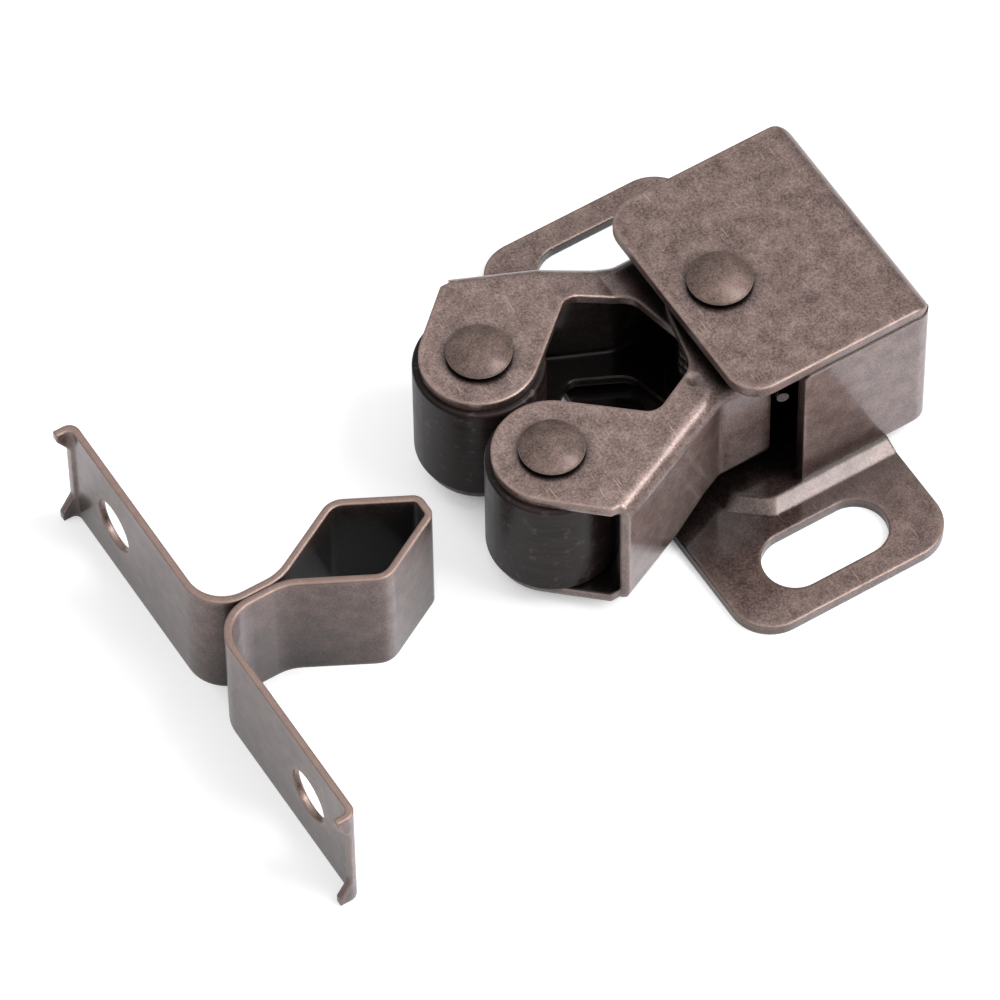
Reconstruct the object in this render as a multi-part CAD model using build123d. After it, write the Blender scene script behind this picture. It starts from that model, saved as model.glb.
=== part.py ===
from build123d import *
import os
from math import atan2, cos, degrees, pi, radians, sin, sqrt, tan

os.makedirs("parts", exist_ok=True)

# Double roller catch with its strike, in millimetres.
# The origin is on the underside of the foot, midway between its two slots.
# +X points out of the mouth, towards the strike; +Y runs along the foot; +Z is up.

# Foot of the frame
frame_sheet = 0.85
foot_span = 37.1
foot_length = 16.5
foot_corner_radius = 3.0
slot_spacing = 28.6
slot_length = 9.5
slot_width = 4.6

# Raised platform under the housing
platform_rise = 0.45
platform_width = 19.0
riser_run = 1.1
platform_front = 3.2
platform_nose_width = 15.8
platform_cut_length = 1.9
platform_corner_radius = 1.5
platform_root_radius = 0.4
crease_radius = 0.5

# Housing folded up from the platform's tongue
housing_back = 11.9
plate_width = 18.32
side_walls_width = 18.55
housing_height = 14.05
housing_front = 3.3
top_corner_radius = 2.3
back_bend_radius = 1.7
side_bend_radius = 1.4
side_wall_length = 10.49
side_wall_foot_gap = 0.06
side_wall_top_gap = 0.12
side_wall_corner_radius = 0.4

# Pivot rivet
pivot_x = -0.5
pivot_diameter = 3.0
pivot_fit = 0.05
head_diameter = 4.55
head_height = 1.05
head_rim = 0.4
head_undercut = 0.22
tail_diameter = 4.4
pivot_tail_height = 0.4
axle_tail_height = 0.7
tail_edge = 0.2

# Rollers
roller_x = 15.75
roller_spread = 9.25
roller_diameter = 9.1
roller_edge = 0.25
roller_fit = 0.06
roller_end_gap = 0.07
axle_diameter = 3.0

# Arms
arm_sheet = 0.75
platform_clearance = 0.05
arm_top_gap = 1.0
arm_end_radius = 4.1
arm_edge_radius = 1.15
arm_inner_radius = 0.3
web_distance = 6.95
web_rear = 0.3
web_crease = 4.3
web_crease_radius = 1.5
web_splay = 24.3
web_tip_setback = 1.78
tip_angle = 42.0
tip_radius = 0.3
lug_radius = 3.7
throat_x = 8.64
throat_y = 5.75
throat_radius = 1.3
neck_x = 4.64
neck_y = 3.75
neck_radius = 1.8
rear_heel_radius = 1.5
nest_gap = 0.06
left_top_ramp = 5.6
right_low_ramp = 6.1
ramp_end = 9.1
dimple_x = 5.1
dimple_y = 4.75
dimple_radius = 0.6
dimple_depth = 0.12

# Torsion spring on the pivot rivet
spring_wire = 0.85
spring_mean_radius = 2.45
spring_full_turns = 5
spring_pitch = 0.93
spring_leg_reach = 0.75
spring_leg_gap = 0.05

# Strike
strike_sheet = 0.5
strike_height = 10.0
strike_axis_y = 2.6
strike_nose_x = 24.3
nose_half_width = 0.91
nose_radius = 0.9
head_angle = 28.5
shoulder_reach = 5.35
shoulder_radius = 1.7
neck_gap = 0.1
strike_neck_radius = 3.4
strike_bend_radius = 3.6
strike_depth = 17.1
strike_leg_half_span = 18.45
strike_hole_spacing = 25.4
strike_hole_diameter = 4.0
prong_reach = 1.1
prong_bend_radius = 1.0
prong_root_height = 2.2
prong_tip_height = 0.7
lip_reach = 0.2
lip_corner_radius = 0.5


# Shapes from corners
def corner_edges(points, closed):
    """Edges through (x, y, radius) corners, each corner rounded by a tangent arc."""
    count = len(points)
    starts = []
    ends = []
    middles = []
    for i in range(count):
        x, y, radius = points[i]
        here = Vector(x, y)
        is_end = not closed and i in (0, count - 1)
        if radius <= 0 or is_end:
            starts.append(here)
            ends.append(here)
            middles.append(None)
            continue
        before = Vector(*points[i - 1][:2]) - here
        after = Vector(*points[(i + 1) % count][:2]) - here
        half = radians(before.get_angle(after)) / 2
        setback = min(radius / tan(half), 0.499 * before.length, 0.499 * after.length)
        true_radius = setback * tan(half)
        first = here + before.normalized() * setback
        last = here + after.normalized() * setback
        inward = (before.normalized() + after.normalized()).normalized()
        middle = here + inward * (true_radius / sin(half) - true_radius)
        starts.append(first)
        ends.append(last)
        middles.append(middle)
    edges = []
    for i in range(count):
        if middles[i] is not None:
            edges.append(ThreePointArc(starts[i], middles[i], ends[i]))
        if i < count - 1 or closed:
            following = starts[(i + 1) % count]
            if (following - ends[i]).length > 1e-5:
                edges.append(Line(ends[i], following))
    return edges


def outline(points):
    """Flat face inside a closed row of rounded corners."""
    return make_face(corner_edges(points, True))


def offset_points(points, distance):
    """The same open row of corners, moved to its left by a distance."""
    moved = []
    count = len(points)
    for i in range(count):
        x, y, radius = points[i]
        here = Vector(x, y)
        into = (here - Vector(*points[i - 1][:2])).normalized() if i > 0 else None
        out = (Vector(*points[i + 1][:2]) - here).normalized() if i < count - 1 else None
        into = into or out
        out = out or into
        turn = into.X * out.Y - into.Y * out.X
        normal = Vector(-into.Y - out.Y, into.X + out.X).normalized()
        miter = distance / (normal.X * -into.Y + normal.Y * into.X)
        moved_radius = radius
        if radius > 0 and turn > 0:
            moved_radius = radius - distance
        if radius > 0 and turn < 0:
            moved_radius = radius + distance
        spot = here + normal * miter
        moved.append((spot.X, spot.Y, max(moved_radius, 0.02) if radius > 0 else 0))
    return moved


def strip(points, sheet):
    """Flat face of a bent strip: one face follows the corners, the other lies to their left."""
    near = corner_edges(points, False)
    far_points = offset_points(points, sheet)
    far = corner_edges(far_points, False)
    caps = [
        Line(Vector(*points[0][:2]), Vector(*far_points[0][:2])),
        Line(Vector(*points[-1][:2]), Vector(*far_points[-1][:2])),
    ]
    return make_face(near + far + caps)


def prism(face, low, high):
    """A flat face raised from one height to another."""
    return Pos(0, 0, low) * extrude(face, amount=high - low)


def across(face, half_width):
    """A face drawn in X and Z, raised to both sides along Y."""
    return extrude(Plane.XZ * face, amount=half_width, both=True)


def box(x_low, x_high, y_low, y_high, z_low, z_high):
    """A box between two corners."""
    middle = Pos((x_low + x_high) / 2, (y_low + y_high) / 2, (z_low + z_high) / 2)
    return middle * Box(x_high - x_low, y_high - y_low, z_high - z_low)


def slot(centre_y):
    """The cutter of one screw slot in the foot."""
    straight = slot_length - slot_width
    low = -frame_sheet
    high = 2 * frame_sheet
    middle = box(-straight / 2, straight / 2, centre_y - slot_width / 2, centre_y + slot_width / 2, low, high)
    ends = [
        Pos(x, centre_y, (low + high) / 2) * Cylinder(slot_width / 2, high - low)
        for x in (-straight / 2, straight / 2)
    ]
    return middle + ends[0] + ends[1]


# Heights that the pieces share
platform_top = platform_rise + frame_sheet
plate_underside = housing_height - frame_sheet
arm_bottom = platform_top + platform_clearance
arm_top = plate_underside - arm_top_gap
arm_floor = arm_bottom + arm_sheet
arm_ceiling = arm_top - arm_sheet
nest_step = arm_sheet + nest_gap


# Frame
def platform_shape():
    """The outside of the raised platform, above the foot's upper face."""
    rear = -foot_length / 2
    top_half = platform_width / 2
    nose_half = platform_nose_width / 2
    cut_start = platform_front - platform_cut_length

    def plan(grow, radius):
        return outline(
            [
                (rear, -top_half - grow, 0),
                (cut_start + 0.3 * grow, -top_half - grow, radius),
                (platform_front + grow, -nose_half - 0.5 * grow, radius),
                (platform_front + grow, nose_half + 0.5 * grow, radius),
                (cut_start + 0.3 * grow, top_half + grow, radius),
                (rear, top_half + grow, 0),
            ]
        )

    low = Pos(0, 0, frame_sheet) * plan(riser_run, platform_root_radius)
    high = Pos(0, 0, platform_top) * plan(0, platform_corner_radius)
    shape = loft([low, high], ruled=True)
    rims = shape.edges().filter_by_position(Axis.Z, platform_top, platform_top)
    rims = [edge for edge in rims if abs(edge.center().X - rear) > 0.01]
    return fillet(rims, radius=min(crease_radius, 0.8 * riser_run))


half_plate = plate_width / 2
half_walls = side_walls_width / 2
foot_half_length = foot_length / 2
foot_half_span = foot_span / 2

foot = prism(
    outline(
        [
            (-foot_half_length, -foot_half_span, foot_corner_radius),
            (foot_half_length, -foot_half_span, foot_corner_radius),
            (foot_half_length, foot_half_span, foot_corner_radius),
            (-foot_half_length, foot_half_span, foot_corner_radius),
        ]
    ),
    0,
    frame_sheet,
)
platform = platform_shape()
frame = foot + platform - Pos(0, 0, -frame_sheet) * platform

back_profile = [
    (2 * frame_sheet - foot_half_length, platform_rise, 0),
    (-housing_back, platform_rise, back_bend_radius),
    (-housing_back, housing_height, back_bend_radius),
    (housing_front, housing_height, 0),
]
back_and_top = across(strip(back_profile, -frame_sheet), half_walls)
bend_line = housing_height - back_bend_radius
flat_half = half_walls - side_bend_radius
top_plan = outline(
    [
        (-housing_back, -half_plate, side_bend_radius),
        (housing_front, -half_plate, top_corner_radius),
        (housing_front, half_plate, top_corner_radius),
        (-housing_back, half_plate, side_bend_radius),
    ]
)
top_part = back_and_top & prism(top_plan, bend_line, housing_height)
back_part = back_and_top & box(-housing_back, 0, -flat_half, flat_half, 0, bend_line)

side_plan = [
    (side_wall_length - housing_back, -half_walls, 0),
    (-housing_back, -half_walls, side_bend_radius),
    (-housing_back, half_walls, side_bend_radius),
    (side_wall_length - housing_back, half_walls, 0),
]
side_bottom = platform_top + side_wall_foot_gap
side_top = plate_underside - side_wall_top_gap
side_view = across(
    outline(
        [
            (-housing_back, side_bottom, 0),
            (side_wall_length - housing_back, side_bottom, 0),
            (side_wall_length - housing_back, side_top, side_wall_corner_radius),
            (-housing_back, side_top, 0),
        ]
    ),
    half_walls,
)
bent_hull = across(
    outline(
        [
            (-housing_back, platform_rise, back_bend_radius),
            (housing_front, platform_rise, 0),
            (housing_front, housing_height, 0),
            (-housing_back, housing_height, back_bend_radius),
        ]
    ),
    half_walls,
)
sides = prism(strip(side_plan, -frame_sheet), side_bottom, side_top) & side_view & bent_hull

frame = frame + back_part + top_part + sides
pivot_hole = Pos(pivot_x, 0, housing_height / 2) * Cylinder(pivot_diameter / 2 + pivot_fit / 2, 2 * housing_height)
frame = frame - slot(-slot_spacing / 2) - slot(slot_spacing / 2) - pivot_hole


# Rivets
def rivet(shank, low, high, tail_height):
    """A rivet standing on Z: formed tail below low, shank, domed head above high."""
    head = head_diameter / 2
    tail = tail_diameter / 2
    dome_rise = head_height - head_rim
    mid_x = head * 0.62
    dome_radius = (head * head + dome_rise * dome_rise) / (2 * dome_rise)
    mid_z = high + head_rim + sqrt(dome_radius**2 - mid_x**2) - (dome_radius - dome_rise)
    section = [
        Line((0, low - tail_height), (tail - tail_edge, low - tail_height)),
        Line((tail - tail_edge, low - tail_height), (tail, low - tail_height + tail_edge)),
        Line((tail, low - tail_height + tail_edge), (tail, low)),
        Line((tail, low), (shank, low)),
        Line((shank, low), (shank, high)),
        Line((shank, high), (head - head_undercut, high)),
        Line((head - head_undercut, high), (head, high + head_rim)),
        ThreePointArc((head, high + head_rim), (mid_x, mid_z), (0, high + head_height)),
        Line((0, high + head_height), (0, low - tail_height)),
    ]
    return revolve(Plane.XZ * make_face(section), axis=Axis.Z)


pivot_rivet = Pos(pivot_x, 0, 0) * rivet(pivot_diameter / 2, platform_rise, housing_height, pivot_tail_height)


# Arms, drawn about the pivot for the +Y side and mirrored for the other
def tangent_point(x, y, centre_x, centre_y, radius, side):
    """Where the line from a point touches a circle, on its left (1) or right (-1) side."""
    span_x = centre_x - x
    span_y = centre_y - y
    span = sqrt(span_x**2 + span_y**2)
    reach = sqrt(span**2 - radius**2)
    lean = atan2(radius, reach)
    heading = atan2(span_y, span_x) + side * lean
    return (x + reach * cos(heading), y + reach * sin(heading))


axle_dx = roller_x - pivot_x
axle_dy = roller_spread / 2
web_front = axle_dx - web_tip_setback
web_tip_y = web_distance + (web_front - web_crease) * tan(radians(web_splay))


def web_path():
    """The web's outer face, from its front corner back to its rear edge."""
    return [
        (web_front, web_tip_y, 0),
        (web_crease, web_distance, web_crease_radius),
        (web_rear, web_distance, 0),
    ]


def arm_plan():
    """The arm's outline from above."""
    front_dx = cos(radians(-tip_angle))
    front_dy = sin(radians(-tip_angle))
    gap = (axle_dx - web_front) * -front_dy + (axle_dy - web_tip_y) * front_dx
    slack = -gap - arm_end_radius
    touch_x = axle_dx - arm_end_radius * front_dy
    touch_y = axle_dy + arm_end_radius * front_dx
    start_x = web_front - slack * -front_dy
    start_y = web_tip_y - slack * front_dx
    side_x = -sin(radians(web_splay))
    side_y = cos(radians(web_splay))
    offset = (start_x - web_front) * side_x + (start_y - web_tip_y) * side_y + arm_sheet + tip_radius
    advance = -offset / (front_dx * side_x + front_dy * side_y)
    inner = tangent_point(throat_x, throat_y, axle_dx, axle_dy, arm_end_radius, -1)
    lug_front = tangent_point(neck_x, neck_y, 0, 0, lug_radius, 1)
    lug_rear = tangent_point(web_rear, web_distance, 0, 0, lug_radius, -1)
    end_mid_angle = atan2(inner[1] + touch_y - 2 * axle_dy, inner[0] + touch_x - 2 * axle_dx)
    end_mid = (axle_dx + arm_end_radius * cos(end_mid_angle), axle_dy + arm_end_radius * sin(end_mid_angle))
    if end_mid[0] < axle_dx:
        end_mid = (2 * axle_dx - end_mid[0], 2 * axle_dy - end_mid[1])
    lug_mid_angle = atan2(lug_front[1] + lug_rear[1], lug_front[0] + lug_rear[0])
    lug_mid = (lug_radius * cos(lug_mid_angle), lug_radius * sin(lug_mid_angle))
    if lug_mid[1] > 0:
        lug_mid = (-lug_mid[0], -lug_mid[1])
    outer_side = [
        (touch_x, touch_y, 0),
        (start_x + advance * front_dx, start_y + advance * front_dy, tip_radius),
        (web_front - arm_sheet * side_x, web_tip_y - arm_sheet * side_y, 0),
        (web_front, web_tip_y, 0),
        (web_crease, web_distance, web_crease_radius),
        (web_rear, web_distance, 0),
        (lug_rear[0], lug_rear[1], 0),
    ]
    inner_side = [
        (lug_front[0], lug_front[1], 0),
        (neck_x, neck_y, neck_radius),
        (throat_x, throat_y, throat_radius),
        (inner[0], inner[1], 0),
    ]
    edges = corner_edges(outer_side, False)
    edges.append(ThreePointArc(lug_rear, lug_mid, lug_front))
    edges += corner_edges(inner_side, False)
    edges.append(ThreePointArc(inner, end_mid, (touch_x, touch_y)))
    return make_face(edges)


def web_edges(shape, distance):
    """The long level edges that run along the web, at a distance inside its outer face."""
    found = []
    slant = radians(web_splay)
    for edge in shape.edges():
        spot = edge @ 0.5
        line_y = web_distance - distance
        if spot.X > web_crease:
            line_y = web_distance + (spot.X - web_crease) * tan(slant) - distance / cos(slant)
        if abs(spot.Y - line_y) < 0.35 and abs((edge % 0.5).Z) < 0.5 and edge.length > 0.3:
            found.append(edge)
    return found


def channel(distance, low, high, radius):
    """A block that fills the inner side of the web, with its long bends rounded."""
    far = 30.0
    far_x = web_front + far
    far_y = web_tip_y + far * tan(radians(web_splay))
    outer_face = [(far_x, far_y, 0), (web_crease, web_distance, web_crease_radius), (-far, web_distance, 0)]
    face = offset_points(outer_face, distance) if distance > 0 else outer_face
    edges = corner_edges(face, False)
    first = Vector(*face[0][:2])
    last = Vector(*face[-1][:2])
    edges.append(Line(last, Vector(last.X, -far)))
    edges.append(Line(Vector(last.X, -far), Vector(first.X, -far)))
    edges.append(Line(Vector(first.X, -far), first))
    block = prism(make_face(edges), low, high)
    return fillet(web_edges(block, distance), radius=radius)


def stepped(distance, radius, levels):
    """A channel block whose levels change along X, with a straight ramp between two of them."""
    far = 80.0

    def block(level):
        return channel(distance, level[1] + distance, level[2] - distance, radius)

    shape = block(levels[0]) & box(-far, levels[0][0], -far, far, -far, far)
    for near, after in zip(levels, levels[1:]):
        cuts = [section(block(level), section_by=Plane.YZ.offset(level[0])) for level in (near, after)]
        shape = shape + loft([cuts[0].faces()[0], cuts[1].faces()[0]], ruled=True)
    return shape + (block(levels[-1]) & box(levels[-1][0], far, -far, far, -far, far))


def finished_arm(levels):
    """One arm from the outer levels of its channel: folded, trimmed, bored, rounded at its heel."""
    edge_radius = min(arm_edge_radius, 1.5 * arm_sheet)
    shape = stepped(0, edge_radius, levels) - stepped(arm_sheet, arm_inner_radius, levels)
    shape = shape & prism(arm_plan(), arm_bottom - 1, arm_top + 1)
    middle = (arm_bottom + arm_top) / 2
    tall = 4 * (arm_top - arm_bottom)
    pivot_bore = Pos(0, 0, middle) * Cylinder(pivot_diameter / 2 + pivot_fit, tall)
    axle_bore = Pos(axle_dx, axle_dy, middle) * Cylinder(axle_diameter / 2, tall)
    heel_x = web_rear + rear_heel_radius
    heel_z = levels[0][1] + rear_heel_radius
    heel = box(web_rear - 1, heel_x, web_distance - 2 * arm_sheet, web_distance + 1, arm_bottom - 1, heel_z)
    heel_round = Pos(heel_x, web_distance, heel_z) * Rot(90, 0, 0) * Cylinder(rear_heel_radius, 8 * arm_sheet)
    return shape - pivot_bore - axle_bore - (heel - heel_round)


# At the pivot the left arm's flanges lie just below the right arm's
right_levels = [
    (right_low_ramp, arm_bottom + nest_step, arm_top),
    (ramp_end, arm_bottom, arm_top),
]
left_levels = [
    (left_top_ramp, arm_bottom, arm_top - nest_step),
    (ramp_end, arm_bottom, arm_top),
]

dimple_ball = (dimple_radius**2 + dimple_depth**2) / (2 * dimple_depth)
dimple = Pos(dimple_x, dimple_y, arm_top + dimple_ball - dimple_depth) * Sphere(dimple_ball)
arm_right = Pos(pivot_x, 0, 0) * (finished_arm(right_levels) - dimple)
arm_left = Pos(pivot_x, 0, 0) * mirror(finished_arm(left_levels), about=Plane.XZ)

roller_rivet_right = Pos(roller_x, axle_dy, 0) * rivet(axle_diameter / 2, arm_bottom, arm_top, axle_tail_height)
roller_rivet_left = Pos(roller_x, -axle_dy, 0) * rivet(axle_diameter / 2, arm_bottom, arm_top, axle_tail_height)


# Rollers
roller_height = arm_ceiling - arm_floor - 2 * roller_end_gap


def roller():
    """A plain roller, from its lower face at the arm's floor."""
    shape = Cylinder(roller_diameter / 2, roller_height)
    shape = fillet(shape.edges().filter_by(GeomType.CIRCLE), radius=roller_edge)
    shape = shape - Cylinder(axle_diameter / 2 + roller_fit, 2 * roller_height)
    return Pos(0, 0, arm_floor + roller_end_gap + roller_height / 2) * shape


roller_right = Pos(roller_x, axle_dy, 0) * roller()
roller_left = Pos(roller_x, -axle_dy, 0) * roller()


# Torsion spring
def spring_shape():
    """Coil round the pivot, with a leg pressing forward on each web's rear edge."""
    wire = spring_wire / 2
    leg_x = web_rear - wire - spring_leg_gap
    leg_y = web_distance + spring_leg_reach
    left_touch = tangent_point(leg_x, -leg_y, 0, 0, spring_mean_radius, 1)
    start_angle = degrees(atan2(left_touch[1], left_touch[0]))
    extra = 2 * (180 - abs(start_angle)) / 360
    turns = spring_full_turns + extra
    helix = Helix(spring_pitch, turns * spring_pitch, spring_mean_radius, lefthand=True)
    helix = Rot(0, 0, start_angle) * helix
    coil = sweep(Plane(origin=helix @ 0, z_dir=helix % 0) * Circle(wire), path=helix, is_frenet=True)
    leg_length = (Vector(leg_x, -leg_y) - Vector(*left_touch)).length
    align = (Align.CENTER, Align.CENTER, Align.MIN)
    first_leg = Plane(origin=helix @ 0, z_dir=helix % 0 * -1) * Cylinder(wire, leg_length, align=align)
    last_leg = Plane(origin=helix @ 1, z_dir=helix % 1) * Cylinder(wire, leg_length, align=align)
    shape = first_leg + coil + last_leg
    floor = arm_bottom + nest_step + arm_sheet
    ceiling = arm_top - nest_step - arm_sheet
    return Pos(pivot_x, 0, (floor + ceiling - turns * spring_pitch) / 2) * shape


spring = spring_shape()


# Strike, drawn on its own axis and then moved to its place
def strike_shape():
    """One strip standing on edge: arrow head, closed neck, two feet with prongs and holes."""
    slope = tan(radians(head_angle))
    mount_x = strike_nose_x + strike_depth
    leg_x = mount_x - strike_sheet
    half_neck = strike_sheet + neck_gap / 2
    shoulder_x = strike_nose_x + shoulder_reach
    shoulder_half = nose_half_width + shoulder_reach * slope
    neck_start = shoulder_x + (shoulder_half - half_neck) / slope
    half = [
        (mount_x + prong_reach, strike_leg_half_span, 0),
        (leg_x, strike_leg_half_span, prong_bend_radius),
        (leg_x, half_neck, strike_bend_radius),
        (neck_start, half_neck, strike_neck_radius),
        (shoulder_x, shoulder_half, shoulder_radius),
        (strike_nose_x, nose_half_width, nose_radius),
    ]
    mirrored = [(x, -y, radius) for x, y, radius in reversed(half)]
    shape = prism(strip(half + mirrored, strike_sheet), 0, strike_height)
    lip_x = mount_x + lip_reach
    end_x = mount_x + prong_reach
    gap = outline(
        [
            (lip_x, prong_root_height, lip_corner_radius),
            (end_x, prong_tip_height, 0),
            (end_x + strike_sheet, prong_tip_height, 0),
            (end_x + strike_sheet, strike_height - prong_tip_height, 0),
            (end_x, strike_height - prong_tip_height, 0),
            (lip_x, strike_height - prong_root_height, lip_corner_radius),
        ]
    )
    cut = extrude(Plane.XZ * gap, amount=-2 * strike_leg_half_span)
    for side in (1, -1):
        shape = shape - (cut if side > 0 else mirror(cut, about=Plane.XZ))
        hole = Pos(mount_x, side * strike_hole_spacing / 2, strike_height / 2) * Rot(0, 90, 0)
        shape = shape - hole * Cylinder(strike_hole_diameter / 2, 6 * strike_sheet)
    return Pos(0, strike_axis_y, 0) * shape


strike = strike_shape()

# One file for each piece
export_step(frame, "parts/frame.step")
export_step(pivot_rivet, "parts/pivot_rivet.step")
export_step(spring, "parts/spring.step")
export_step(arm_right, "parts/arm_right.step")
export_step(arm_left, "parts/arm_left.step")
export_step(roller_right, "parts/roller_right.step")
export_step(roller_left, "parts/roller_left.step")
export_step(roller_rivet_right, "parts/roller_rivet_right.step")
export_step(roller_rivet_left, "parts/roller_rivet_left.step")
export_step(strike, "parts/strike.step")
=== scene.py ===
# %% [markdown]
# # A double roller catch and its strike
# This catch holds a small cupboard door shut. Two rollers sit on sprung arms,
# and the door carries a folded strike whose arrow head is gripped between them.
# Its sheets and rivets are steel, plated in antique copper.
# The shapes come from a solid model, so this lesson is about finishes and light:
# how a dark, lacquered, slightly worn plate is built from a few nodes.

# %% Load the solids and note their size
import math

import bmesh
import bpy
from mathutils import Matrix, Vector


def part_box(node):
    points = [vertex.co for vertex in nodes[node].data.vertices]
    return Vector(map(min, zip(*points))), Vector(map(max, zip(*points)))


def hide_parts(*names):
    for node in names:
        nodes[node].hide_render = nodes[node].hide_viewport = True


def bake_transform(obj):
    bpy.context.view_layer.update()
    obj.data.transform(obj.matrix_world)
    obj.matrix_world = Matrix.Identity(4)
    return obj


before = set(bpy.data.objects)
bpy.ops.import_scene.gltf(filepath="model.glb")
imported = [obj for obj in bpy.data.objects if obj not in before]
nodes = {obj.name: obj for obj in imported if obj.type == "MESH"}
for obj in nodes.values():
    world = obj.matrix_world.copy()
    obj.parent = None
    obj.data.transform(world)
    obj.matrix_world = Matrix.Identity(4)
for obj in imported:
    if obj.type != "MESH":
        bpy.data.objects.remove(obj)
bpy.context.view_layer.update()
print("pieces:", ", ".join(sorted(nodes)))

# %% [markdown]
# ## Colours and lengths
# Colours are written the way a paint program shows them, as hex values.
# Blender's shaders count in linear light, so one function converts them.
# A texture's scale is one over the size of its features, so a second function
# lets every pattern be given in the millimetres that it has on the real thing.

# %% Hex colours and millimetres
MM = 0.001
WHITE = (1.0, 1.0, 1.0, 1.0)


def linear(code):
    """Linear red, green, blue and alpha of a hex colour such as 8a736b."""
    values = []
    for i in (0, 2, 4):
        v = int(code[i:i + 2], 16) / 255
        values.append(v / 12.92 if v <= 0.04045 else ((v + 0.055) / 1.055) ** 2.4)
    return (*values, 1.0)


def per(mm):
    """The texture scale whose features are about that many millimetres wide."""
    return 1 / (mm * MM)


print("mid copper brown:", [round(v, 3) for v in linear("8a736b")])
print("a grain of 0.25 mm needs a scale of", round(per(0.25)))

# %% [markdown]
# ## Building a finish from nodes
# One function adds a node, sets its sockets and links its inputs in one line,
# which keeps each finish short enough to read as a recipe.
# A few more put names on the steps that every recipe repeats: a sum, a change of range,
# a mix of two colours and a noise.

# %% Add a node with its settings and links
def add(tree, kind, sets=None, links=None, **traits):
    """A new node; sets gives socket values and links gives what feeds each socket."""
    node = tree.nodes.new(kind)
    for name, value in traits.items():
        setattr(node, name, value)
    for socket, value in (sets or {}).items():
        node.inputs[socket].default_value = value
    for socket, source in (links or {}).items():
        tree.links.new(source, node.inputs[socket])
    return node


def blank(name):
    """A material with no nodes yet."""
    material = bpy.data.materials.new(name)
    material.use_nodes = True
    material.node_tree.nodes.clear()
    return material, material.node_tree


def close(tree, shader):
    """Send a shader to the material's output."""
    tree.links.new(add(tree, "ShaderNodeOutputMaterial").inputs[0], shader.outputs[0])


print("node helpers ready")


# %% Sums, ranges and mixes
UNDER, OVER = 6, 7


def maths(tree, operation, first, second=None, clamp=False):
    """The result of a sum on one or two values, each a number or what feeds it."""
    sets, links = {}, {}
    for socket, value in enumerate((first, second)):
        if isinstance(value, (int, float)):
            sets[socket] = value
        elif value is not None:
            links[socket] = value
    return add(tree, "ShaderNodeMath", sets, links, operation=operation, use_clamp=clamp).outputs[0]


def remap(tree, value, low, high, at_low, at_high):
    """A value's range from low to high, turned into at_low to at_high and held there."""
    sets = {"From Min": low, "From Max": high, "To Min": at_low, "To Max": at_high}
    return add(tree, "ShaderNodeMapRange", sets, {"Value": value}).outputs[0]


def tinted(tree, share, colour, over):
    """One colour laid over another by a share from 0 to 1."""
    return add(
        tree, "ShaderNodeMix", {OVER: linear(over)}, {0: share, UNDER: colour}, data_type="RGBA"
    ).outputs[2]


def noise(tree, place, mm, **sets):
    """A noise with features of that size in millimetres, from 0 to 1 and mostly near the middle."""
    texture = add(tree, "ShaderNodeTexNoise", {"Scale": per(mm)}, {"Vector": place})
    for socket, value in sets.items():
        texture.inputs[socket].default_value = value
    return texture.outputs["Fac"]


print("a mix takes its colours at sockets", UNDER, "and", OVER)

# %% [markdown]
# ## Finding the worn and lit edges
# Handling and tumbling rub the dark tone off the edges first, so they show pale, pinkish copper.
# The narrow line along every edge also stands for light catching the small rounded edges, a painted
# highlight.
# Pointiness can't find edges here, because the solid's triangles aren't joined.
# The Bevel node can: it looks round each spot and rounds the normal near an edge.
# Where that rounded normal turns away from the true one, there is an edge.
# A noise breaks the band up, because real wear is never an even line.

# %% Mask for edges, broken up by noise
def worn_and_lit_edges(tree, place, width_mm, lowest, highest):
    """A number that rises to 1 along the edges, and the rounded normal itself."""
    rounded = add(tree, "ShaderNodeBevel", {"Radius": width_mm * MM}, samples=6).outputs[0]
    true_normal = add(tree, "ShaderNodeNewGeometry").outputs["Normal"]
    agree = add(
        tree, "ShaderNodeVectorMath", links={0: rounded, 1: true_normal}, operation="DOT_PRODUCT"
    )
    turned_away = maths(tree, "SUBTRACT", 1.0, agree.outputs["Value"])
    patchy = remap(tree, noise(tree, place, 0.6, Detail=3.0), 0.3, 0.7, 0.45, 1.3)
    uneven = maths(tree, "MULTIPLY", turned_away, patchy)
    return remap(tree, uneven, lowest, highest, 0.0, 1.0), rounded


NARROW_WEAR_AND_HIGHLIGHT_BAND = (0.3, 0.02, 0.2)
BROAD_BAND = (1.1, 0.01, 0.3)
print("edge wear reads bands of", NARROW_WEAR_AND_HIGHLIGHT_BAND[0], "and", BROAD_BAND[0], "mm")

# %% [markdown]
# ## Painted shade in recesses
# Shade in corners, folds and under the arms is painted into the finish's colour.
# Ambient occlusion finds those places: it is the share of open sky that a spot sees.
# An upright face always has the floor beside it, so it is lent about a quarter before it
# is judged. Inside the folded arms and the housing little light gets in, and the painted
# shade makes the finish nearly black.

# %% How open a spot is, for the painted shade
RECESS_REACH_MM = 12.0
LENT_TO_UPRIGHT = 0.28
METAL_SHUT_CLEAR_LEAST = (0.51, 0.96, 0.06)
FLOOR_SHUT_CLEAR_LEAST = (0.06, 0.35, 0.0)


def painted_recess_shade(tree, shut, clear, least):
    """A painted-shade factor from least, deep in a recess, to 1 in the open."""
    sky = add(tree, "ShaderNodeAmbientOcclusion", {"Distance": RECESS_REACH_MM * MM}, samples=8)
    facing = add(
        tree, "ShaderNodeSeparateXYZ", links={0: add(tree, "ShaderNodeNewGeometry").outputs["Normal"]}
    )
    level = maths(tree, "ABSOLUTE", facing.outputs["Z"])
    lent = remap(tree, level, 0.0, 1.0, LENT_TO_UPRIGHT, 0.0)
    share = maths(tree, "ADD", sky.outputs["AO"], lent)
    return remap(tree, share, shut, clear, least, 1.0)


print("recesses are judged over", RECESS_REACH_MM, "mm")
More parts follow.
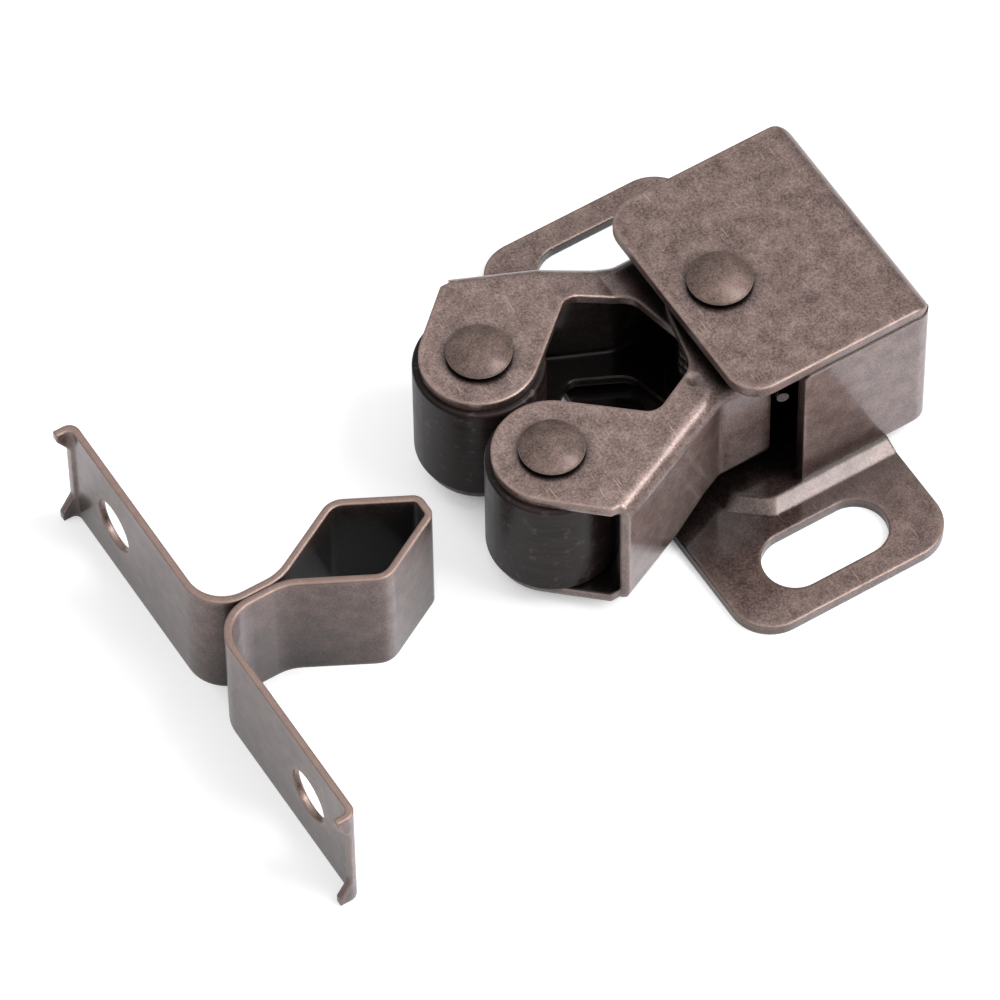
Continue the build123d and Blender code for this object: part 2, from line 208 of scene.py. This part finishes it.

# %% [markdown]
# ## Antique copper on pressed steel
# The sheet is copper plated, darkened in a bath, tumbled, and sealed with clear lacquer.
# To the eye that is a brown metal with a fine grey mottle, and a thin neutral shine over it
# that grows at glancing angles, so upright faces look greyer than level ones.
# A metallic base gives the brown and a clear coat gives the neutral shine.
# The mottle has two sizes: a fine grain and clouds of a millimetre or two.
# Wear comes in two widths as well: a narrow bright line on every edge, which is also a
# painted highlight of light on the rounded edge, and a broad faint band beside it where
# fingers and the tumbling barrel have thinned the dark tone.
# The strike's cut edges are smoother than its faces and show one plain tone.
# The rivets are plated apart from the sheets, and get less lacquer and no broad band.
# Shade in recesses and under the arms is painted into all of these colours.

# %% Short pale scratches
SCRATCH_ANGLES = (0.5, -1.1)
SCRATCH_GRAIN_MM = 0.16
SCRATCH_SQUASH = 0.09


def scratches(tree, place, angle, fewest):
    """A mask of thin, short streaks that lie along one direction."""
    turned = {"Rotation": (0.0, 0.0, angle), "Scale": (1.0, SCRATCH_SQUASH, 1.0)}
    laid = add(tree, "ShaderNodeMapping", turned, {"Vector": place})
    streaks = noise(tree, laid.outputs[0], SCRATCH_GRAIN_MM, Detail=1.0)
    return remap(tree, streaks, fewest, fewest + 0.05, 0.0, 0.55)


longest = round(SCRATCH_GRAIN_MM / SCRATCH_SQUASH, 1)
print("scratches come from a grain of", SCRATCH_GRAIN_MM, "by", longest, "mm")


# %% The mottle, from clouds and grain
def mottle(tree, place, dark, mid, pale):
    """The plate's colour in three tones, and the grain that its dullness follows."""
    clouds = noise(tree, place, 1.3, Detail=5.0, Roughness=0.62)
    grain = noise(tree, place, 0.15, Detail=2.0, Roughness=0.6)
    from_clouds = maths(tree, "MULTIPLY", clouds, 0.45)
    both = add(
        tree, "ShaderNodeMath", {1: 0.55}, {0: grain, 2: from_clouds}, operation="MULTIPLY_ADD"
    ).outputs[0]
    ramp = add(tree, "ShaderNodeValToRGB", links={0: both})
    stops = ramp.color_ramp.elements
    stops[0].position = 0.37
    stops[0].color = linear(dark)
    stops[1].position = 0.65
    stops[1].color = linear(pale)
    middle = stops.new(0.5)
    middle.color = linear(mid)
    return ramp.outputs[0], grain


def level_share(tree):
    """How far a spot faces straight up or down, for the cut edges of a strip on its side."""
    turned = add(
        tree, "ShaderNodeSeparateXYZ", links={0: add(tree, "ShaderNodeTexCoord").outputs["Normal"]}
    )
    return remap(tree, maths(tree, "ABSOLUTE", turned.outputs["Z"]), 0.6, 0.9, 0.0, 0.6)


print("mottle ready")


# %% The plated sheet
def antique_copper(name, tones, edge, cut=None, rubbed=0.4, rough=0.36, scratched=0.72, lacquer=0.72):
    """Copper plate darkened in a bath: mottle, scratches, worn edges with a painted highlight, painted
    shade in recesses and a clear coat.
    """
    material, tree = blank(name)
    place = add(tree, "ShaderNodeTexCoord").outputs["Object"]
    colour, grain = mottle(tree, place, *tones)
    if cut:
        colour = tinted(tree, level_share(tree), colour, cut)
    for angle in SCRATCH_ANGLES:
        colour = tinted(tree, scratches(tree, place, angle, scratched), colour, edge)
    broad = worn_and_lit_edges(tree, place, *BROAD_BAND)[0]
    colour = tinted(tree, maths(tree, "MULTIPLY", broad, rubbed, clamp=True), colour, edge)
    # narrow bright line: edge wear and a painted highlight of light on the rounded edge
    narrow, rounded = worn_and_lit_edges(tree, place, *NARROW_WEAR_AND_HIGHLIGHT_BAND)
    colour = tinted(tree, narrow, colour, edge)
    # painted shade: ambient occlusion darkens the colour in recesses and under the arms
    shade = painted_recess_shade(tree, *METAL_SHUT_CLEAR_LEAST)
    colour = add(
        tree, "ShaderNodeMix", {0: 1.0}, {UNDER: colour, OVER: shade},
        data_type="RGBA", blend_type="MULTIPLY",
    ).outputs[2]
    bump = add(
        tree, "ShaderNodeBump", {"Strength": 0.3, "Distance": 0.02 * MM},
        {"Height": grain, "Normal": rounded},
    )
    shader = add(
        tree, "ShaderNodeBsdfPrincipled",
        {
            "Metallic": 0.55, "Specular IOR Level": 0.2,
            "Coat Weight": lacquer, "Coat Roughness": 0.12, "Coat IOR": 1.5,
        },
        {
            "Base Color": colour, "Roughness": remap(tree, grain, 0.3, 0.7, rough - 0.06, rough + 0.1),
            "Normal": bump.outputs[0], "Coat Normal": rounded,
        },
    )
    close(tree, shader)
    return material


sheet_finish = antique_copper("antique_copper_frame", ("503e3a", "745f59", "937d76"), "b39a8f")
arm_finish = antique_copper("antique_copper_arms", ("584843", "7d6761", "9b8680"), "bda397")
strike_finish = antique_copper(
    "antique_copper_strike", ("4b3936", "68544e", "866f68"), "ad9186", cut="957d73"
)
rivet_finish = antique_copper(
    "antique_copper_rivets", ("4c3f3b", "6c5a54", "877269"), "a8958b",
    rubbed=0.0, rough=0.5, scratched=0.8, lacquer=0.2,
)
print("plated finishes:", sheet_finish.name, arm_finish.name, strike_finish.name, rivet_finish.name)

# %% [markdown]
# ## Spring wire
# The torsion spring on the pivot is drawn music wire, left bright. It hides in the housing,
# and only a leg glints beside the side wall, so it needs little more than a clean, fairly
# smooth metal with a faint drawing grain. Its colour is kept dark, a painted shade for the
# deep shadow that the coil sits in.

# %% Bright drawn wire
def drawn_wire():
    """Bright steel wire with faint drawing marks, its colour kept dark as painted shade."""
    material, tree = blank("spring_steel_with_painted_shade")
    place = add(tree, "ShaderNodeTexCoord").outputs["Object"]
    marks = noise(tree, place, 0.15, Detail=2.0)
    ramp = add(tree, "ShaderNodeValToRGB", links={0: marks})
    # painted shade: dark wire tones stand for the shadow inside the housing
    ramp.color_ramp.elements[0].color = linear("4d4844")
    ramp.color_ramp.elements[1].color = linear("77716c")
    shader = add(
        tree, "ShaderNodeBsdfPrincipled", {"Metallic": 1.0},
        {"Base Color": ramp.outputs[0], "Roughness": remap(tree, marks, 0.3, 0.7, 0.2, 0.36)},
    )
    close(tree, shader)
    return material


wire_finish = drawn_wire()
print("wire finish:", wire_finish.name)

# %% [markdown]
# ## Moulded black rollers
# The rollers are turned or moulded acetal, a slippery black plastic. It has a soft shine,
# fine rings from running against the strike, and pale scuffs.
# A noise squashed along the roller's height draws the rings, and a second, coarser
# noise, cut off near its top, leaves only scattered scuffs.

# %% Black acetal with rings and scuffs
def black_acetal():
    """Black plastic with faint rings round the roller and a few pale scuffs."""
    material, tree = blank("black_acetal_rollers")
    place = add(tree, "ShaderNodeTexCoord").outputs["Object"]
    squashed = add(tree, "ShaderNodeMapping", {"Scale": (0.06, 0.06, 1.0)}, {"Vector": place})
    rings = noise(tree, squashed.outputs[0], 0.3, Detail=3.0)
    marks = noise(tree, place, 0.8, Detail=5.0, Roughness=0.65)
    ramp = add(tree, "ShaderNodeValToRGB", links={0: rings})
    ramp.color_ramp.elements[0].position = 0.35
    ramp.color_ramp.elements[0].color = linear("1d1615")
    ramp.color_ramp.elements[1].position = 0.7
    ramp.color_ramp.elements[1].color = linear("372b29")
    colour = tinted(tree, remap(tree, marks, 0.58, 0.72, 0.0, 0.6), ramp.outputs[0], "6b615e")
    rounded = add(tree, "ShaderNodeBevel", {"Radius": 0.15 * MM}, samples=4)
    bump = add(
        tree, "ShaderNodeBump", {"Strength": 0.2, "Distance": 0.02 * MM},
        {"Height": rings, "Normal": rounded.outputs[0]},
    )
    shader = add(
        tree, "ShaderNodeBsdfPrincipled", {"IOR": 1.48, "Specular IOR Level": 0.16},
        {
            "Base Color": colour, "Roughness": remap(tree, rings, 0.3, 0.7, 0.26, 0.4),
            "Normal": bump.outputs[0],
        },
    )
    close(tree, shader)
    return material


roller_finish = black_acetal()
print("roller finish:", roller_finish.name)

# %% [markdown]
# ## Giving each piece its finish
# The solids keep their shapes. Each one only swaps the plain material in its slots
# for the finish of its own kind, and the record's names say which is which.

# %% Put the finishes on the pieces
finish_of = {
    "frame": sheet_finish,
    "arm_right": arm_finish,
    "arm_left": arm_finish,
    "strike": strike_finish,
    "pivot_rivet": rivet_finish,
    "roller_rivet_right": rivet_finish,
    "roller_rivet_left": rivet_finish,
    "spring": wire_finish,
    "roller_right": roller_finish,
    "roller_left": roller_finish,
}
for name, finish in finish_of.items():
    for slot in nodes[name].material_slots:
        slot.material = finish
    print(name, "->", finish.name)

# %% [markdown]
# ## A spring cut in two
# One leg of the torsion spring presses on each arm, so when an arm swings open its leg goes
# with it and the coil in between winds up a little. One stiff solid can't do that.
# The spring's mesh is copied and cut level through its middle, and each half is closed
# where it was cut: the upper half holds the right arm's leg and the lower half the left arm's.
# The solid spring is hidden, and at rest the halves are exactly the solid that they replace.

# %% Cut the spring in two
SHARP_TURN = math.radians(40)
SAME_POINT = 0.001 * MM
ON_THE_CUT = 0.0001 * MM


def half_spring(name, arm, upper):
    """The half of the spring above or below its middle, closed where it was cut."""
    low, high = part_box("spring")
    middle = (low[2] + high[2]) / 2
    shape = bmesh.new()
    shape.from_mesh(nodes["spring"].data)
    bmesh.ops.remove_doubles(shape, verts=shape.verts, dist=SAME_POINT)
    whole = [*shape.verts, *shape.edges, *shape.faces]
    cut = bmesh.ops.bisect_plane(
        shape, geom=whole, dist=ON_THE_CUT, plane_co=(0, 0, middle), plane_no=(0, 0, 1),
        clear_inner=upper, clear_outer=not upper,
    )
    rim = [part for part in cut["geom_cut"] if isinstance(part, bmesh.types.BMEdge)]
    bmesh.ops.holes_fill(shape, edges=rim, sides=0)
    bmesh.ops.recalc_face_normals(shape, faces=shape.faces)
    open_edges = sum(not edge.is_manifold for edge in shape.edges)
    for face in shape.faces:
        face.smooth = True
    for edge in shape.edges:
        edge.smooth = edge.calc_face_angle(0.0) < SHARP_TURN
    mesh = bpy.data.meshes.new(name)
    shape.to_mesh(mesh)
    shape.free()
    mesh.materials.append(wire_finish)
    piece = bpy.data.objects.new(name, mesh)
    bpy.context.scene.collection.objects.link(piece)
    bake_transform(piece)
    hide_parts("spring")
    print(name, "with", len(mesh.vertices), "points,", open_edges, "open edges, follows", arm)


half_spring("spring_right_half", "arm_right", True)
half_spring("spring_left_half", "arm_left", False)

# %% [markdown]
# ## Floor
# A product picture like this is taken on a white sweep. A broad flat plate stands in for it.
# Its paint is an ordinary pale one, so it bounces light up on the upright faces, and
# a glow that the camera sees, and mirrors see by half, lifts it to clean white but
# casts no light of its own. Near the catch the glow is dimmed where little open sky
# reaches the floor, a painted shadow under and beside the parts. The sweep is also
# slightly glossy, which only the metal shows: an upright face mirrors the sweep beside it,
# and in it the lit side behind.

# %% Which rays see the glow
def seen_rays(tree):
    """1 for rays from the camera or through glass and half for mirrored ones, and the camera's own."""
    rays = add(tree, "ShaderNodeLightPath").outputs
    mirrored = maths(tree, "MULTIPLY", rays["Is Glossy Ray"], 0.5)
    camera_or_mirrored = maths(tree, "MAXIMUM", rays["Is Camera Ray"], mirrored)
    return maths(tree, "MAXIMUM", camera_or_mirrored, rays["Is Transmission Ray"]), rays["Is Camera Ray"]


print("ray test ready")


# %% A pale floor under everything
GLOW = 0.65
FLOOR_HALF_WIDTH = 1.5


def pale_floor(half):
    """A square floor at the level of the foot's underside, with its white paint."""
    shape = bmesh.new()
    bmesh.ops.create_grid(shape, x_segments=1, y_segments=1, size=half)
    mesh = bpy.data.meshes.new("floor")
    shape.to_mesh(mesh)
    shape.free()
    floor = bpy.data.objects.new("floor", mesh)
    bpy.context.scene.collection.objects.link(floor)
    material, tree = blank("white_sweep")
    paint = add(tree, "ShaderNodeBsdfDiffuse", {"Color": linear("d0d0d2")})
    polish = add(tree, "ShaderNodeBsdfGlossy", {"Color": linear("4a4a4e"), "Roughness": 0.2})
    seen, by_camera = seen_rays(tree)
    # painted shadow: the glow is dimmed by occlusion under and beside the parts
    clear = painted_recess_shade(tree, *FLOOR_SHUT_CLEAR_LEAST)
    lift = maths(tree, "MULTIPLY", maths(tree, "MULTIPLY", seen, GLOW), clear)
    glow = add(tree, "ShaderNodeEmission", {"Color": WHITE}, {"Strength": lift})
    total = add(tree, "ShaderNodeAddShader", links={0: paint.outputs[0], 1: glow.outputs[0]})
    shining = add(tree, "ShaderNodeAddShader", links={0: total.outputs[0], 1: polish.outputs[0]})
    surface = add(
        tree, "ShaderNodeMixShader", links={0: by_camera, 1: shining.outputs[0], 2: total.outputs[0]}
    )
    close(tree, surface)
    mesh.materials.append(material)
    return floor


floor = pale_floor(FLOOR_HALF_WIDTH)
print("floor:", floor.name)

# %% [markdown]
# ## Light
# Soft light comes from a weak panel overhead and a stronger one behind the catch, to its right.
# Metal shows what it faces, so the panels are also what the level faces reflect.
# The sky is plain and white where the camera sees it. What the metal mirrors is a sky that
# is white overhead and dims towards the horizon, as the walls of a studio do, so that
# domed heads and round edges show a light and a dark side.

# %% Two soft panels
LIT_POINT = Vector((0.016, -0.001, 0.006))


def panel(name, place, size, power):
    """A square soft panel that faces the catch."""
    light = bpy.data.lights.new(name, "AREA")
    light.shape = "SQUARE"
    light.size = size
    light.energy = power
    lamp = bpy.data.objects.new(name, light)
    bpy.context.scene.collection.objects.link(lamp)
    lamp.location = place
    lamp.rotation_euler = (LIT_POINT - Vector(place)).to_track_quat("-Z", "Y").to_euler()
    return lamp


overhead = panel("overhead_panel", (-0.15, 0.0, 0.75), 0.5, 1.1)
side = panel("side_panel", (-0.34, 0.29, 0.6), 0.42, 4.25)
print("lights:", overhead.name, side.name)

# %% A sky for the camera, one for mirrors and one for everything else
world = bpy.data.worlds.new("pale_sky")
bpy.context.scene.world = world
world.use_nodes = True
sky = world.node_tree
sky.nodes.clear()
height = add(sky, "ShaderNodeSeparateXYZ", links={0: add(sky, "ShaderNodeTexCoord").outputs["Generated"]})
dome = remap(sky, height.outputs["Z"], 0.1, 0.7, 0.25, 1.0)
even = add(sky, "ShaderNodeBackground", {"Color": WHITE, "Strength": 0.4})
mirrored = add(sky, "ShaderNodeBackground", {"Color": WHITE}, {"Strength": dome})
white = add(sky, "ShaderNodeBackground", {"Color": WHITE, "Strength": 1.0})
rays = add(sky, "ShaderNodeLightPath").outputs
lit = add(
    sky, "ShaderNodeMixShader", links={0: rays["Is Glossy Ray"], 1: even.outputs[0], 2: mirrored.outputs[0]}
)
choice = add(
    sky, "ShaderNodeMixShader", links={0: rays["Is Camera Ray"], 1: lit.outputs[0], 2: white.outputs[0]}
)
sky.links.new(add(sky, "ShaderNodeOutputWorld").inputs[0], choice.outputs[0])
print("world:", world.name)

# %% [markdown]
# ## Camera
# The picture was taken with a long lens from well above and to the right of the mouth.
# The camera's place was worked out from the part's right angles, and it leans by one degree.
# A long lens far away keeps parallel edges nearly parallel, as they are in the picture.

# %% The camera that took the picture
AZIMUTH = math.radians(148.989)
ELEVATION = math.radians(55.5)
LEAN = math.radians(-0.973)
TARGET = Vector((0.016468, -0.000997, 0.0))
DISTANCE = 0.563666
SENSOR_MM = 36.0
FOCAL_PIXELS = 8261.8
IMAGE_PIXELS = 1000
back = Vector((
    math.sin(AZIMUTH) * math.cos(ELEVATION),
    -math.cos(AZIMUTH) * math.cos(ELEVATION),
    math.sin(ELEVATION),
))
right = Vector((0, 0, 1)).cross(back).normalized()
up = back.cross(right)
leaned_right = math.cos(LEAN) * right + math.sin(LEAN) * up
leaned_up = -math.sin(LEAN) * right + math.cos(LEAN) * up
turn = Matrix((leaned_right, leaned_up, back)).transposed().to_4x4()
lens = bpy.data.cameras.new("long_lens")
lens.sensor_width = SENSOR_MM
lens.lens = FOCAL_PIXELS * SENSOR_MM / IMAGE_PIXELS
lens.clip_end = 20.0
camera = bpy.data.objects.new("camera", lens)
camera.matrix_world = Matrix.Translation(TARGET + back * DISTANCE) @ turn
bpy.context.scene.collection.objects.link(camera)
bpy.context.scene.camera = camera
bpy.context.scene.view_settings.view_transform = "Standard"
print("lens:", round(lens.lens, 1), "mm at", DISTANCE, "m")
